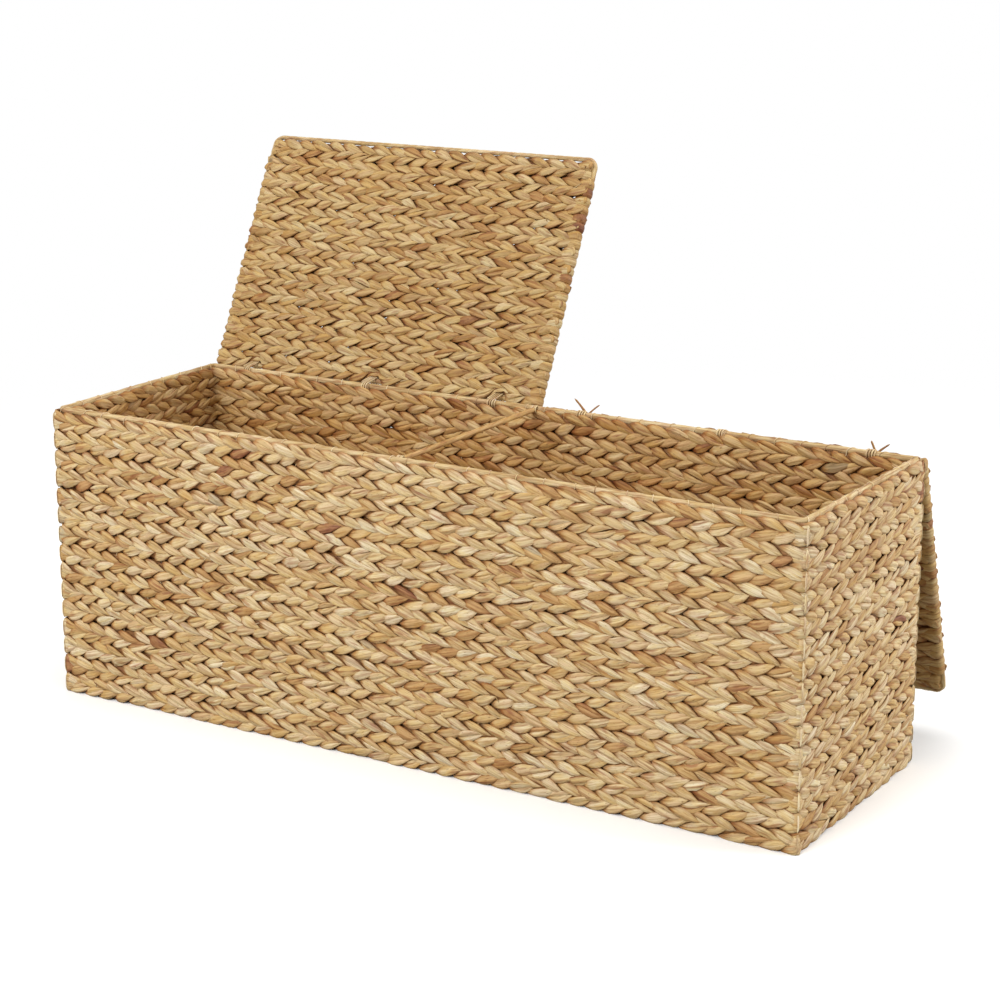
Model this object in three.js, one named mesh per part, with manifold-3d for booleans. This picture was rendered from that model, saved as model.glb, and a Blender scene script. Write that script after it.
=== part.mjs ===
// Woven water hyacinth storage trunk with two lids that hinge side by side on its back rim.
// Millimetres. X runs along the trunk from left to right, Y from front to back, Z up from the floor.
// The origin is the centre of the underside. The left lid stands open and the right lid hangs
// behind the back wall, as the trunk is shown.
import * as THREE from 'three';
import { mergeVertices } from 'three/addons/utils/BufferGeometryUtils.js';
import Module from 'manifold-3d';

const wasm = await Module();
wasm.setup();

// Trunk
const trunkLength = 1100;
const trunkDepth = 350;
const trunkHeight = 400;
const cornerRadius = 14;
const cornerSteps = 1;

// Woven walls: courses of braid lie one on another, and the seams between them draw in
const wallThickness = 18;
const wallCourses = 15;
const wallTopDrop = 5;
const seamShare = 0.56;
const courseShares = [0, 0.17, 0.5, 0.83];

// Woven floor, with flat-bottomed courses that the trunk stands on
const baseThickness = 16;
const baseCourses = 13;
const baseCourseShares = [0, 0.25, 0.75];

// Frame of round steel rod
const rimDiameter = 7.5;
const crossbarDiameter = 7.5;
const frameRodDiameter = 5;
const uprightDiameter = 4;
const postFoot = 3;
const baseRodDiameter = 5;
const baseRodSpacing = 275;
const baseRodCount = 3;

// Lids
const lidGap = 5;
const lidEndInset = 2.5;
const lidWidth = (trunkLength - lidGap) / 2 - lidEndInset;
const lidReach = 347;
const lidThickness = 19;
const lidCourses = 14;
const lidSideRound = 9;
const lidCornerRound = 16;
const lidEndShares = [0, 0.28, 1];
const roundEndShare = 0.94;
const rearRodDiameter = 7.5;
const rearRodInset = 6;
const frontRodDiameter = 6;
const lidRodDiameter = 5;
const sideRodInset = 7;
const lidBarSpacing = 180;
const lidBarCount = 2;

// Hinge ties: thin cord whipped in turns round the back rim and the lid's rear rod
const tieCordDiameter = 2.6;
const tieTurns = 4;
const tiePitch = 3.2;
const tieLinkLength = 20.6;
const tieEndInset = 67;
const tiesPerLid = 3;
const notchSideGap = 1;

// How the lids move: degrees turned from closed
const lidRestGap = 0.75;
const lidFullTurn = 252;
const leftLidTurn = 116;
const hangingTieAngle = 118;

// Fits and facets
const clearance = 0.3;
const cutOverrun = 4;
const rodSides = 10;
const grooveSteps = 5;
const tieEndSteps = 10;
const tieSides = 6;

const weaveColour = 0xc39a5f;
const rimCordColour = 0xd2b078;
const tieCordColour = 0xc9a56c;
const steelColour = 0x4a4642;

// Places worked out from the sizes above
const halfLength = trunkLength / 2;
const halfDepth = trunkDepth / 2;
const wallMiddle = wallThickness / 2;
const wallTop = trunkHeight - wallTopDrop;
const rimRadius = rimDiameter / 2;
const rimLevel = trunkHeight - rimRadius;
const underRim = rimLevel - rimRadius - clearance;
const bottomRodLevel = baseThickness / 2;
const postInset = cornerRadius - (cornerRadius - wallMiddle) * Math.SQRT1_2;
const backRimY = halfDepth - wallMiddle;
const lidHalf = lidThickness / 2;
const rearRodRadius = rearRodDiameter / 2;
const lidFrontLimit = lidReach - frontRodDiameter - clearance;
const closedTieAngle = THREE.MathUtils.radToDeg(
  Math.acos((rimRadius + lidHalf + lidRestGap) / tieLinkLength),
);
const tieTravel = hangingTieAngle - closedTieAngle;
const tieWidth = tieTurns * tiePitch + tieCordDiameter;
const tieOuterRadius = rimRadius + clearance + tieCordDiameter;

const trunk = new THREE.Group();

function addPiece(parent, name, geometry, colour, roughness, metalness) {
  const material = new THREE.MeshStandardMaterial({ color: colour, roughness, metalness });
  const mesh = new THREE.Mesh(geometry, material);
  mesh.name = name;
  parent.add(mesh);
  return mesh;
}

function addWeave(parent, name, geometry) {
  return addPiece(parent, name, geometry, weaveColour, 0.8, 0);
}

function addCorded(parent, name, geometry) {
  return addPiece(parent, name, geometry, rimCordColour, 0.75, 0);
}

function addSteel(parent, name, geometry) {
  return addPiece(parent, name, geometry, steelColour, 0.5, 0.8);
}

// A closed skin over rings of equally many points, with its two ends filled in.
// The outline gives the rings' shape in the flat, going anticlockwise as seen from +X.
function skin(rings, outline) {
  const count = outline.length;
  const faces = [];
  for (let ring = 0; ring < rings.length - 1; ring += 1) {
    for (let k = 0; k < count; k += 1) {
      const a = ring * count + k;
      const b = ring * count + ((k + 1) % count);
      faces.push(a, b, a + count);
      faces.push(b, b + count, a + count);
    }
  }
  const last = (rings.length - 1) * count;
  const flat = outline.map(([across, up]) => new THREE.Vector2(across, up));
  for (const [a, b, c] of THREE.ShapeUtils.triangulateShape(flat, [])) {
    faces.push(a, c, b);
    faces.push(last + a, last + b, last + c);
  }
  const geometry = new THREE.BufferGeometry();
  geometry.setAttribute('position', new THREE.Float32BufferAttribute(rings.flat(2), 3));
  geometry.setIndex(faces);
  return geometry;
}

function toSolid(geometry) {
  const bare = geometry.clone();
  bare.deleteAttribute('normal');
  bare.deleteAttribute('uv');
  const merged = mergeVertices(bare);
  return new wasm.Manifold(new wasm.Mesh({
    numProp: 3,
    vertProperties: new Float32Array(merged.attributes.position.array),
    triVerts: new Uint32Array(merged.index.array),
  }));
}

function fromSolid(solid) {
  const mesh = solid.getMesh();
  const geometry = new THREE.BufferGeometry();
  geometry.setAttribute('position', new THREE.BufferAttribute(mesh.vertProperties, 3));
  geometry.setIndex(new THREE.BufferAttribute(mesh.triVerts, 1));
  return geometry;
}

function cut(geometry, cutters) {
  let solid = toSolid(geometry);
  for (const cutter of cutters) solid = solid.subtract(toSolid(cutter));
  return fromSolid(solid);
}

// A straight round rod between two points
function rod(from, to, diameter) {
  const start = new THREE.Vector3(...from);
  const end = new THREE.Vector3(...to);
  const radius = diameter / 2;
  const geometry = new THREE.CylinderGeometry(radius, radius, start.distanceTo(end), rodSides);
  const along = end.clone().sub(start).normalize();
  const turn = new THREE.Quaternion().setFromUnitVectors(new THREE.Vector3(0, 1, 0), along);
  const middle = start.add(end).multiplyScalar(0.5);
  geometry.applyQuaternion(turn);
  geometry.translate(middle.x, middle.y, middle.z);
  return geometry;
}

// The bore that a rod lies in
function bore(from, to, diameter) {
  return rod(from, to, diameter + 2 * clearance);
}

// A bar along X whose outline lies in Y and Z
function barAlongX(outline, middleX, length) {
  const rings = [middleX - length / 2, middleX + length / 2].map(
    (x) => outline.map(([y, z]) => [x, y, z]),
  );
  return skin(rings, outline);
}

// Evenly spaced places, centred on zero
function spread(count, spacing) {
  return Array.from({ length: count }, (_, k) => (k - (count - 1) / 2) * spacing);
}

// One face of a mat: pairs of a place across the courses and the half thickness there
function courseFace(start, end, courses, halfThickness, shares) {
  const pitch = (end - start) / courses;
  const fullest = Math.max(...shares.map((share) => Math.sin(Math.PI * share)));
  const points = [];
  for (let course = 0; course < courses; course += 1) {
    for (const share of shares) {
      const swell = Math.sqrt(Math.sin(Math.PI * share) / fullest);
      const half = halfThickness * (seamShare + (1 - seamShare) * swell);
      points.push([start + (course + share) * pitch, half]);
    }
  }
  points.push([end, halfThickness * seamShare]);
  return points;
}

// Walls and rims run along one side of the trunk and meet the next side in a mitre.
// A point of their section is its depth in from the outer face and its level.
function sidePoint(depth, level, side, halfSide, faceOffset, step) {
  const turned = step / cornerSteps;
  const angle = turned * Math.PI / 4;
  const bend = cornerRadius - depth;
  let along = halfSide - cornerRadius + bend * Math.sin(angle);
  let inward = cornerRadius - bend * Math.cos(angle);
  if (bend <= 0) {
    const straightEnd = halfSide - wallThickness - cornerRadius;
    along = THREE.MathUtils.lerp(straightEnd, halfSide - depth, turned);
    inward = depth;
  }
  return [side * (along - clearance), inward - faceOffset, level];
}

function alongSide(outline, sideLength, faceOffset) {
  const rings = [];
  for (const side of [-1, 1]) {
    for (let k = 0; k <= cornerSteps; k += 1) {
      const step = side < 0 ? cornerSteps - k : k;
      rings.push(outline.map(([depth, level]) => (
        sidePoint(depth, level, side, sideLength / 2, faceOffset, step))));
    }
  }
  return skin(rings, outline);
}

// The section of a wall, with the groove that the rim rod lies in along its top
function wallSection() {
  const face = courseFace(0, wallTop, wallCourses, wallMiddle, courseShares);
  const grooveRadius = rimRadius + clearance;
  const lip = Math.asin((rimLevel - wallTop) / grooveRadius);
  const groove = [];
  for (let k = 0; k <= grooveSteps; k += 1) {
    const angle = THREE.MathUtils.lerp(-lip, lip - Math.PI, k / grooveSteps);
    groove.push([
      wallMiddle + grooveRadius * Math.cos(angle),
      rimLevel + grooveRadius * Math.sin(angle),
    ]);
  }
  return [
    ...face.map(([level, half]) => [wallMiddle + half, level]),
    ...groove,
    ...face.reverse().map(([level, half]) => [wallMiddle - half, level]),
  ];
}

function rimSection() {
  return Array.from({ length: rodSides }, (_, k) => {
    const angle = (k + 0.5) / rodSides * 2 * Math.PI;
    return [wallMiddle + rimRadius * Math.cos(angle), rimLevel + rimRadius * Math.sin(angle)];
  });
}

// The four sides, each as it lies at the front before it is turned to its place
const sides = [
  { name: 'front', turn: 0, length: trunkLength, offset: halfDepth, long: true },
  { name: 'right_end', turn: Math.PI / 2, length: trunkDepth, offset: halfLength, long: false },
  { name: 'back', turn: Math.PI, length: trunkLength, offset: halfDepth, long: true },
  { name: 'left_end', turn: -Math.PI / 2, length: trunkDepth, offset: halfLength, long: false },
];

// Places of the ties along one lid, measured from the lid's middle
const tieSpacing = (lidWidth - 2 * tieEndInset) / (tiesPerLid - 1);
const tiePlaces = spread(tiesPerLid, tieSpacing);
const lidMiddle = (lidWidth + lidGap) / 2;
const notchWidth = tieWidth + 2 * notchSideGap;

// The uprights of a long wall stand midway between the ties, and an end wall has one
const longWallUprights = [-lidMiddle, lidMiddle].flatMap(
  (middle) => spread(tiesPerLid - 1, tieSpacing).map((place) => middle + place),
);

// The notch in the back wall under a tie, as it swings between closed and hanging.
// Its outline is measured back and up from the middle of the rim.
function wallNotch(x) {
  const reach = tieOuterRadius + clearance;
  const low = THREE.MathUtils.degToRad(hangingTieAngle);
  const back = [Math.sin(low), Math.cos(low)];
  const under = [Math.cos(low), -Math.sin(low)];
  const top = rimRadius + cutOverrun;
  const far = wallMiddle + cutOverrun;
  const run = (far - reach * under[0]) / back[0];
  const outline = [
    [-reach, -reach * Math.tan(low / 4)],
    [reach * under[0], reach * under[1]],
    [far, reach * under[1] + run * back[1]],
    [far, top],
    [-reach, top],
  ];
  return barAlongX(outline.map(([y, z]) => [backRimY + y, rimLevel + z]), x, notchWidth);
}

function makeWall({ name, turn, length, offset, long }) {
  const rodY = wallMiddle - offset;
  const halfSide = length / 2;
  const overrun = halfSide + cutOverrun;
  const cutters = [
    bore([-overrun, rodY, bottomRodLevel], [overrun, rodY, bottomRodLevel], frameRodDiameter),
  ];
  for (const side of [-1, 1]) {
    const postX = side * (halfSide - postInset);
    const postY = postInset - offset;
    const postTop = wallTop + cutOverrun;
    cutters.push(bore([postX, postY, postFoot - clearance], [postX, postY, postTop], frameRodDiameter));
  }
  for (const x of uprightPlaces(long)) {
    cutters.push(bore([x, rodY, bottomRodLevel], [x, rodY, wallTop + cutOverrun], uprightDiameter));
  }
  if (long) {
    const inside = wallThickness + cutOverrun - offset;
    for (const x of spread(baseRodCount, baseRodSpacing)) {
      cutters.push(bore([x, rodY, bottomRodLevel], [x, inside, bottomRodLevel], baseRodDiameter));
    }
    cutters.push(bore([0, rodY, rimLevel], [0, inside, rimLevel], crossbarDiameter));
  }
  if (name === 'back') {
    for (const middle of [-lidMiddle, lidMiddle]) {
      cutters.push(...tiePlaces.map((place) => wallNotch(middle + place).rotateZ(-turn)));
    }
  }
  const wall = cut(alongSide(wallSection(), length, offset), cutters);
  addWeave(trunk, `${name}_wall`, wall).rotation.z = turn;
}

function uprightPlaces(long) {
  return long ? longWallUprights : [0];
}

function makeSideFrame({ name, turn, length, offset, long }) {
  const rodY = wallMiddle - offset;
  const rodEnd = length / 2 - postInset - frameRodDiameter / 2 - clearance;
  const uprightFoot = bottomRodLevel + frameRodDiameter / 2 + clearance;
  const frame = new THREE.Group();
  frame.rotation.z = turn;
  trunk.add(frame);
  addCorded(frame, `${name}_rim_rod`, alongSide(rimSection(), length, offset));
  addSteel(frame, `${name}_bottom_rod`, rod(
    [-rodEnd, rodY, bottomRodLevel], [rodEnd, rodY, bottomRodLevel], frameRodDiameter));
  uprightPlaces(long).forEach((x, k) => {
    const label = long ? `${name}_upright_${k + 1}` : `${name}_upright`;
    addSteel(frame, label, rod([x, rodY, uprightFoot], [x, rodY, underRim], uprightDiameter));
  });
}

function makeCornerPosts() {
  const x = halfLength - postInset;
  const y = halfDepth - postInset;
  const corners = {
    front_left: [-x, -y], front_right: [x, -y], back_left: [-x, y], back_right: [x, y],
  };
  for (const [name, place] of Object.entries(corners)) {
    addSteel(trunk, `${name}_post`, rod([...place, postFoot], [...place, underRim], frameRodDiameter));
  }
}

function makeCrossbar() {
  const end = backRimY - rimRadius - clearance;
  addCorded(trunk, 'centre_crossbar', rod([0, -end, rimLevel], [0, end, rimLevel], crossbarDiameter));
}

function makeBase() {
  const halfBase = halfDepth - wallThickness - clearance;
  const length = trunkLength - 2 * (wallThickness + clearance);
  const level = baseThickness / 2;
  const face = courseFace(-halfBase, halfBase, baseCourses, level, baseCourseShares);
  const outline = [
    ...face.map(([y, half]) => [y, level - half]),
    ...face.reverse().map(([y, half]) => [y, level + half]),
  ];
  const places = spread(baseRodCount, baseRodSpacing);
  const bores = places.map((x) => bore(
    [x, -halfDepth, bottomRodLevel], [x, halfDepth, bottomRodLevel], baseRodDiameter));
  addWeave(trunk, 'base_mat', cut(barAlongX(outline, 0, length), bores));
  const end = backRimY - frameRodDiameter / 2 - clearance;
  places.forEach((x, k) => {
    addSteel(trunk, `base_rod_${k + 1}`, rod(
      [x, -end, bottomRodLevel], [x, end, bottomRodLevel], baseRodDiameter));
  });
}

// A lid lies closed in its own frame: its rear rod is on the X axis and it reaches towards -Y
function lidMat() {
  const face = courseFace(-lidReach, rearRodInset, lidCourses, lidHalf, courseShares);
  const outline = [
    ...face.map(([y, half]) => [y, -half]),
    ...face.reverse().map(([y, half]) => [y, half]),
  ];
  const cornerY = lidCornerRound - lidReach;
  const rings = [];
  for (const side of [-1, 1]) {
    const shares = side < 0 ? lidEndShares : [...lidEndShares].reverse();
    for (const share of shares) {
      const inset = share * lidCornerRound;
      const x = side * (lidWidth / 2 - inset);
      const thin = roundOff(inset, lidSideRound);
      const short = roundOff(inset, lidCornerRound);
      rings.push(outline.map(([y, z]) => (
        [x, y < cornerY ? cornerY + (y - cornerY) * short : y, z * thin])));
    }
  }
  return skin(rings, outline);
}

// How much of a rounded edge's height is left at an inset from its end
function roundOff(inset, radius) {
  const share = Math.max(0, 1 - inset / radius) * roundEndShare;
  return Math.sqrt(1 - share * share);
}

// The notch in a lid round one tie: clear of the tie from closed to hanging
function lidNotch(x) {
  const reach = tieOuterRadius + clearance;
  const deep = lidHalf + cutOverrun;
  const closed = THREE.MathUtils.degToRad(closedTieAngle);
  const open = THREE.MathUtils.degToRad(hangingTieAngle - lidFullTurn);
  const closedEdge = [-reach * Math.cos(closed), reach * Math.sin(closed)];
  const openEdge = [reach * Math.cos(open), -reach * Math.sin(open)];
  const closedRun = (deep + closedEdge[1]) / Math.cos(closed);
  const openRun = (deep - openEdge[1]) / -Math.cos(open);
  const outline = [
    [closedEdge[0] - closedRun * Math.sin(closed), -deep],
    [rearRodInset + cutOverrun, -deep],
    [rearRodInset + cutOverrun, deep],
    [openEdge[0] - openRun * Math.sin(open), deep],
    openEdge,
    closedEdge,
  ];
  return barAlongX(outline, x, notchWidth);
}

function makeLid(name, middleX, turn) {
  const tieAngle = closedTieAngle + tieTravel * turn / lidFullTurn;
  const swing = THREE.MathUtils.degToRad(tieAngle);
  const lid = new THREE.Group();
  lid.position.set(
    middleX,
    backRimY + tieLinkLength * Math.sin(swing),
    rimLevel + tieLinkLength * Math.cos(swing),
  );
  lid.rotation.x = -THREE.MathUtils.degToRad(turn);
  trunk.add(lid);

  const halfWidth = lidWidth / 2;
  const sideX = halfWidth - sideRodInset;
  const frontY = frontRodDiameter / 2 - lidReach;
  const recessY = -lidFrontLimit;
  const farY = -lidReach - cutOverrun;
  const recessEnd = halfWidth - lidCornerRound;
  const frontRodEnd = recessEnd - clearance;
  const innerFrontY = recessY + lidRodDiameter + clearance;
  const rearGap = -rearRodRadius - clearance;
  const bars = spread(lidBarCount, lidBarSpacing);
  const recess = [[farY, -lidThickness], [recessY, -lidThickness], [recessY, lidThickness],
    [farY, lidThickness]];
  const mat = cut(lidMat(), [
    bore([-lidWidth, 0, 0], [lidWidth, 0, 0], rearRodDiameter),
    barAlongX(recess, 0, 2 * recessEnd),
    ...[-sideX, ...bars, sideX].map((x) => bore([x, 0, 0], [x, innerFrontY, 0], lidRodDiameter)),
    ...tiePlaces.map((x) => lidNotch(x)),
  ]);
  addWeave(lid, `${name}_lid_mat`, mat);
  addCorded(lid, `${name}_lid_rear_rod`, rod([-sideX, 0, 0], [sideX, 0, 0], rearRodDiameter));
  addCorded(lid, `${name}_lid_front_rod`, rod(
    [-frontRodEnd, frontY, 0], [frontRodEnd, frontY, 0], frontRodDiameter));
  const rodEnd = innerFrontY + clearance;
  addSteel(lid, `${name}_lid_left_rod`, rod([-sideX, rearGap, 0], [-sideX, rodEnd, 0], lidRodDiameter));
  addSteel(lid, `${name}_lid_right_rod`, rod([sideX, rearGap, 0], [sideX, rodEnd, 0], lidRodDiameter));
  bars.forEach((x, k) => {
    addSteel(lid, `${name}_lid_bar_${k + 1}`, rod([x, rearGap, 0], [x, rodEnd, 0], lidRodDiameter));
  });
  makeTies(name, middleX, swing);
}

// The line of one tie's cord: turns round both rods, side by side along X.
// The rim is at zero and the lid's rear rod is a link's length up Z.
function tieLine() {
  const wrap = rimRadius + clearance + tieCordDiameter / 2;
  const loop = [];
  for (let k = 0; k <= tieEndSteps; k += 1) {
    const angle = Math.PI + k / tieEndSteps * Math.PI;
    loop.push([wrap * Math.cos(angle), wrap * Math.sin(angle)]);
  }
  loop.push([wrap, tieLinkLength / 2]);
  for (let k = 0; k <= tieEndSteps; k += 1) {
    const angle = k / tieEndSteps * Math.PI;
    loop.push([wrap * Math.cos(angle), tieLinkLength + wrap * Math.sin(angle)]);
  }
  loop.push([-wrap, tieLinkLength / 2]);
  const points = [];
  const steps = tieTurns * loop.length;
  for (let k = 0; k <= steps; k += 1) {
    const [y, z] = loop[k % loop.length];
    points.push(new THREE.Vector3((k / steps - 0.5) * tieTurns * tiePitch, y, z));
  }
  return points;
}

// A round cord along a line of points that winds about the X axis
function cordSkin(points, diameter) {
  const sideways = new THREE.Vector3(1, 0, 0);
  const section = Array.from({ length: tieSides }, (_, k) => {
    const angle = k / tieSides * 2 * Math.PI;
    return [diameter / 2 * Math.cos(angle), diameter / 2 * Math.sin(angle)];
  });
  const rings = points.map((point, k) => {
    const before = points[Math.max(k - 1, 0)];
    const after = points[Math.min(k + 1, points.length - 1)];
    const along = after.clone().sub(before).normalize();
    const across = along.clone().cross(sideways).normalize();
    const up = along.clone().cross(across);
    return section.map(([a, b]) => (
      point.clone().addScaledVector(across, a).addScaledVector(up, b).toArray()));
  });
  return skin(rings, section);
}

// The least clear gap between one turn of the cord and the next
function leastTurnGap(points) {
  const perTurn = (points.length - 1) / tieTurns;
  let least = Infinity;
  for (let a = 0; a < points.length; a += 1) {
    for (let b = a + Math.round(perTurn / 2); b < points.length; b += 1) {
      least = Math.min(least, points[a].distanceTo(points[b]) - tieCordDiameter);
    }
  }
  return least;
}

function makeTies(name, middleX, swing) {
  const line = tieLine();
  tiePlaces.forEach((place, k) => {
    const tie = addPiece(
      trunk, `${name}_hinge_tie_${k + 1}`, cordSkin(line, tieCordDiameter), tieCordColour, 0.8, 0);
    tie.position.set(middleX + place, backRimY, rimLevel);
    tie.rotation.x = -swing;
  });
}

for (const side of sides) {
  makeWall(side);
  makeSideFrame(side);
}
makeCornerPosts();
makeCrossbar();
makeBase();
makeLid('left', -lidMiddle, leftLidTurn);
makeLid('right', lidMiddle, lidFullTurn);
console.log('least gap between turns of a tie, mm:', leastTurnGap(tieLine()).toFixed(2));

export default trunk;
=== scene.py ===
import math
import bpy
import numpy as np
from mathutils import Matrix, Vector


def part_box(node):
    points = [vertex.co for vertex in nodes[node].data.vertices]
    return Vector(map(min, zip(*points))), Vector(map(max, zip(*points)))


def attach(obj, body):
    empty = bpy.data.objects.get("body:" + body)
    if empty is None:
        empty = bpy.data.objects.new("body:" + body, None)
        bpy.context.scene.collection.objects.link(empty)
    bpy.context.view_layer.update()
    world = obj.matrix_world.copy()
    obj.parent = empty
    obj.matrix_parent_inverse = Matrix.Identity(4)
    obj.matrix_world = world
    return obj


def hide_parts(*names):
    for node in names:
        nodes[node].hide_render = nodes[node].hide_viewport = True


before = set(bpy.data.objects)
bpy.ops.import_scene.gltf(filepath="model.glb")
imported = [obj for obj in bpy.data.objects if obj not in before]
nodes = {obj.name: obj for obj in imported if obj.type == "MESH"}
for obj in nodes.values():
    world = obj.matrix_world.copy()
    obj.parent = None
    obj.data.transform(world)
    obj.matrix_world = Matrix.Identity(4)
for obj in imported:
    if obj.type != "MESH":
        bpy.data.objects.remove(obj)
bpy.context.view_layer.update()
mm = 0.001
tau = 2 * math.pi


# Colour and nodes

def hexToLinear(text):
    values = [int(text[i:i + 2], 16) / 255 for i in (1, 3, 5)]
    linear = [v / 12.92 if v <= 0.04045 else ((v + 0.055) / 1.055) ** 2.4 for v in values]
    return (*linear, 1.0)


def addNode(tree, kind, settings=None, links=None):
    node = tree.nodes.new(kind)
    for name, value in (settings or {}).items():
        if isinstance(name, str) and hasattr(node, name):
            setattr(node, name, value)
        else:
            node.inputs[name].default_value = value
    for name, source in (links or {}).items():
        tree.links.new(source, node.inputs[name])
    return node


def newMaterial(name):
    material = bpy.data.materials.new(name)
    material.use_nodes = True
    material.node_tree.nodes.clear()
    return material, material.node_tree


def colourRamp(tree, source, stops):
    ramp = addNode(tree, "ShaderNodeValToRGB", {}, {"Fac": source}).color_ramp
    while len(ramp.elements) < len(stops):
        ramp.elements.new(0.5)
    for element, (place, colour) in zip(ramp.elements, stops):
        element.position = place
        element.color = hexToLinear(colour)
    return tree.nodes[-1].outputs["Color"]


def multiplied(tree, first, second, share):
    return addNode(tree, "ShaderNodeMix", {
        "data_type": "RGBA", "blend_type": "MULTIPLY", 0: share}, {6: first, 7: second}).outputs[2]


# Water hyacinth: dried flattened stalks, braided by hand and left uncoated. That gives a soft
# straw sheen, long fibres along each strand, and stalks that differ from pale straw to red brown.
# Real fibres are about half a millimetre wide, too fine for the render, so they are drawn coarser.
hyacinthLook = {
    "stalkColours": [         # for a tint from 0, red brown, through straw to 1, greyish
        (0.0, "#84543c"), (0.05, "#a07450"), (0.12, "#b89463"), (0.3, "#c8ad7c"),
        (0.55, "#d2c09b"), (0.84, "#dcd3ba"), (0.93, "#c6b89c"), (1.0, "#aaa088"),
    ],
    "tintDrift": 0.36,        # how far the tint changes along one stalk
    "shade": "#ffffff",       # tones the whole piece; darker on the lids and inside, as painted shade
    "fibreWidth": 1.1,        # mm across one bundle of fibres as drawn
    "fibreLength": 30,        # mm along it
    "fibreColours": [(0.3, "#bfa47e"), (0.5, "#efe8da"), (0.68, "#ffffff")],
    "fibreShare": 0.75,
    "fibreDepth": 0.4,        # mm of relief
    "fibreBump": 0.7,
    "foldWidth": 3.4,         # mm from one lengthwise fold to the next
    "foldColours": [(0.32, "#b68f60"), (0.46, "#f4ebdd"), (0.6, "#ffffff")],
    "foldShare": 0.5,
    "foldDepth": 1.3,         # mm
    "foldBump": 0.8,
    "blotchSize": 9,          # mm, yellower and pinker patches, three times as long
    "blotchColours": [(0.38, "#fff8e2"), (0.5, "#ffffff"), (0.62, "#fbf1f4")],
    "blotchShare": 0.8,
    "fleckWidth": 1.4,        # mm, small marks where the skin is bruised or torn
    "fleckLength": 6,         # mm
    "fleckColours": [(0.66, "#ffffff"), (0.73, "#94623f")],
    "fleckShare": 0.55,
    "stainSize": 5,           # mm across, patches where the skin kept its colour, six times as long
    "stainColours": [(0.6, "#ffffff"), (0.7, "#b5795a")],
    "stainShare": 0.6,
    "paintedShadeColours": [(0.0, "#7e4a24"), (0.4, "#cfa063"), (0.75, "#ffffff")],
    "paintedShadeShare": 0.75,      # painted shade: how much darker a stalk gets where it dives under the next, at its edges and in a cord's grooves
    "roughness": 0.62,
    "specular": 0.35,
}


def hyacinthMaterial(name, look):
    material, tree = newMaterial(name)
    fibre = addNode(tree, "ShaderNodeAttribute", {"attribute_name": "fibre"}).outputs["Vector"]
    tint = addNode(tree, "ShaderNodeAttribute", {"attribute_name": "tint"}).outputs["Fac"]
    paintedLight = addNode(tree, "ShaderNodeAttribute", {"attribute_name": "paintedLight"}).outputs["Fac"]
    waves = {}
    for key, across, along, detail in (
            ("fibre", look["fibreWidth"], look["fibreLength"], 2.0),
            ("fold", look["foldWidth"], 2 * look["fibreLength"], 0.0),
            ("stain", look["stainSize"], 6 * look["stainSize"], 1.0),
            ("fleck", look["fleckWidth"], look["fleckLength"], 1.0),
            ("blotch", look["blotchSize"], 3 * look["blotchSize"], 3.0)):
        place = addNode(tree, "ShaderNodeMapping", {
            "Scale": (1 / across, 1 / across, 1 / along)}, {"Vector": fibre}).outputs["Vector"]
        waves[key] = addNode(tree, "ShaderNodeTexNoise", {
            "Scale": 1.0, "Detail": detail, "Roughness": 0.6}, {"Vector": place}).outputs["Fac"]
    drift = addNode(tree, "ShaderNodeMath", {
        "operation": "MULTIPLY_ADD", 1: look["tintDrift"], 2: -look["tintDrift"] / 2},
        {0: waves["blotch"]}).outputs[0]
    place = addNode(tree, "ShaderNodeMath", {"operation": "ADD", "use_clamp": True},
                    {0: tint, 1: drift}).outputs[0]
    colour = colourRamp(tree, place, look["stalkColours"])
    for key in ("fibre", "fold", "blotch", "fleck", "stain"):
        mark = colourRamp(tree, waves[key], look[key + "Colours"])
        colour = multiplied(tree, colour, mark, look[key + "Share"])
    # painted shade, from the light painted into each point of the mesh
    colour = multiplied(tree, colour, colourRamp(tree, paintedLight, look["paintedShadeColours"]), look["paintedShadeShare"])
    shade = addNode(tree, "ShaderNodeRGB")
    shade.outputs[0].default_value = hexToLinear(look["shade"])
    colour = multiplied(tree, colour, shade.outputs[0], 1.0)
    fine = addNode(tree, "ShaderNodeBump", {
        "Strength": look["fibreBump"], "Distance": look["fibreDepth"] * mm}, {"Height": waves["fibre"]})
    broad = addNode(tree, "ShaderNodeBump", {
        "Strength": look["foldBump"], "Distance": look["foldDepth"] * mm},
        {"Height": waves["fold"], "Normal": fine.outputs["Normal"]})
    shader = addNode(tree, "ShaderNodeBsdfPrincipled", {
        "Roughness": look["roughness"], "Specular IOR Level": look["specular"]},
        {"Base Color": colour, "Normal": broad.outputs["Normal"]})
    addNode(tree, "ShaderNodeOutputMaterial", {}, {"Surface": shader.outputs["BSDF"]})
    return material


# The same braid in darker, warmer copies. On the lids and inside the walls this is painted shade with warm
# bounced light, and more painted shade on the lids' top faces; the base's copy is darker and warmer too
wallWeave = hyacinthMaterial("hyacinthBraid", dict(hyacinthLook, shade="#fcfaf4"))
baseWeave = hyacinthMaterial("hyacinthBaseBraid", dict(hyacinthLook, shade="#ecdcc6"))
lidShadedWeave = hyacinthMaterial("hyacinthLidShadedBraid", dict(hyacinthLook, shade="#e3d9c0"))
lidTopShadedWeave = hyacinthMaterial("hyacinthLidTopShadedBraid", dict(hyacinthLook, shade="#dfd2b8"))
insideShadedWeave = hyacinthMaterial("hyacinthInsideShadedBraid", dict(hyacinthLook, shade="#eedec2"))

# Cord twisted from the pale skins of the stalks: even in colour, with finer fibres
cordLook = dict(hyacinthLook, fibreWidth=0.7, foldWidth=2.2, foldDepth=0.5, fleckShare=0.2, stalkColours=[
    (0.0, "#bda47a"), (0.3, "#ccb78f"), (0.6, "#d9c8a3"), (1.0, "#e4d8ba")])
rimCord = hyacinthMaterial("hyacinthRimCord", dict(cordLook, shade="#eeebe2"))
barCord = hyacinthMaterial("hyacinthBarCord", dict(cordLook, shade="#f4e6ca"))

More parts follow.
